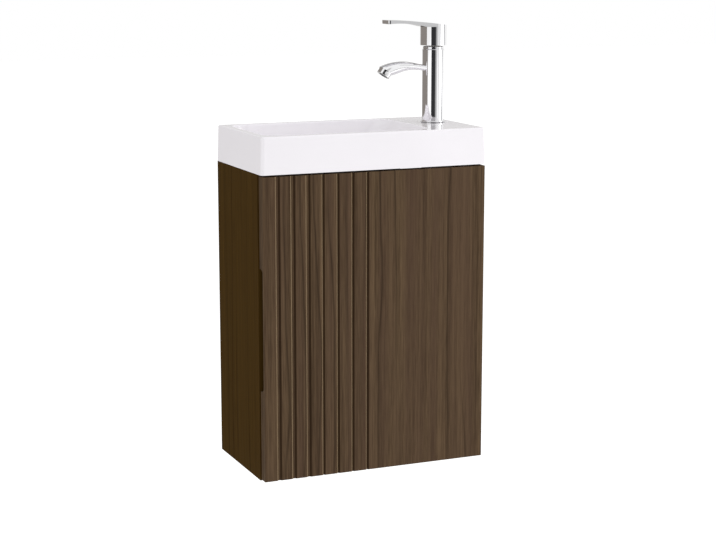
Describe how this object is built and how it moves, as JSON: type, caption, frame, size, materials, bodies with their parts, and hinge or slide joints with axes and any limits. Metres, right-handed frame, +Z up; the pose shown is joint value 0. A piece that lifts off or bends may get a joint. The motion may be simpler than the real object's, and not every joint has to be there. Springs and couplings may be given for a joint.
{
  "type": "wall-hung vanity unit",
  "caption": "Narrow wall-hung bathroom cabinet with a grooved door on concealed hinges, a ceramic basin on top, a side-mounted mixer tap and a push-button waste.",
  "frame": {"origin": "on the wall plane, in the middle of the wall plates' four screw holes", "axes": "+Z up, +Y into the wall, +X to the right as seen from the room"},
  "size_m": [0.402, 0.221, 0.7462],
  "materials": {
    "walnut_side": "dark walnut-effect foil on board, satin",
    "walnut_door": "dark walnut-effect foil on a milled board, satin",
    "beech": "plain beech",
    "white_glaze": "white glossy glaze",
    "chrome": "polished",
    "plated_steel": "nickel plated",
    "brass": "machined",
    "white_plastic": "moulded, satin",
    "grey_plastic": "moulded",
    "ceramic_disc": "polished sintered ceramic",
    "clear_rubber": "clear, soft",
    "white_sealant": "smooth",
    "black_rubber": "moulded"
  },
  "bodies": {
    "carcass": {"side_panel_left": "walnut_side", "side_panel_right": "walnut_side", "bottom_panel": "walnut_side", "front_stretcher": "walnut_side", "hanging_rail": "walnut_side", "lower_back_rail": "walnut_side", "shelf": "walnut_side", "shelf_pins": "plated_steel", "dowels": "beech", "cam_bolts": "plated_steel", "cam_discs": "plated_steel", "wall_plates": "plated_steel", "hanger_hooks": "plated_steel", "hanger_housings": "white_plastic", "hanger_fixing_screws": "plated_steel", "hanger_adjusters": "plated_steel", "hinge_base_plates": "plated_steel", "base_plate_screws": "plated_steel", "hinge_arms": "plated_steel", "hinge_arm_screws": "plated_steel", "hinge_arm_pins": "plated_steel", "basin": "white_glaze", "sealant_beads": "white_sealant", "waste_body": "chrome", "waste_flange_seal": "black_rubber", "waste_lower_seal": "black_rubber", "waste_backnut": "brass", "waste_click_guide": "white_plastic", "tap_body": "chrome", "tap_base_seal": "black_rubber", "tap_fixing_stud": "brass", "tap_clamp_rubber": "black_rubber", "tap_clamp_washer": "plated_steel", "tap_fixing_nut": "brass", "cartridge_base_seals": "black_rubber", "cartridge_body": "white_plastic", "cartridge_disc": "ceramic_disc", "cartridge_nut": "brass", "dome_ring": "chrome", "aerator_housing": "chrome", "aerator_insert": "grey_plastic", "aerator_washer": "black_rubber"},
    "hinge_links": {"hinge_links": "plated_steel"},
    "door": {"door_panel": "walnut_door", "door_bumpers": "clear_rubber", "hinge_cups": "plated_steel", "hinge_cup_pins": "plated_steel", "cup_screws": "plated_steel"},
    "cartridge_carrier": {"cartridge_carrier": "white_plastic", "cartridge_pin": "plated_steel"},
    "lever": {"cartridge_stem": "brass", "lever_handle": "chrome", "lever_grub_screw": "plated_steel"},
    "waste_plug": {"waste_plug": "chrome", "waste_plug_seal": "black_rubber", "waste_plug_stem": "brass"}
  },
  "joints": [
    {"name": "link_swing", "type": "hinge", "parent": "carcass", "child": "hinge_links", "pos_m": [0.1615, -0.1925, 0], "axis": [0, 0, 1], "range_deg": [-66, 0]},
    {"name": "door_swing", "type": "hinge", "parent": "hinge_links", "child": "door", "pos_m": [0.184, -0.203, 0], "axis": [0, 0, 1], "range_deg": [0, 165]},
    {"name": "lever_turn", "type": "hinge", "parent": "carcass", "child": "cartridge_carrier", "pos_m": [0.1585, -0.098, 0.277], "axis": [0, 0, 1], "range_deg": [-50, 50]},
    {"name": "lever_lift", "type": "hinge", "parent": "cartridge_carrier", "child": "lever", "pos_m": [0.1585, -0.098, 0.277], "axis": [0, 1, 0], "range_deg": [0, 20]},
    {"name": "waste_click", "type": "slide", "parent": "carcass", "child": "waste_plug", "axis": [0, 0, 1], "range_m": [0, 0.008]}
  ],
  "couplings": [
    {"joint": "link_swing", "follows": "door_swing", "ratio": -0.4}
  ]
}
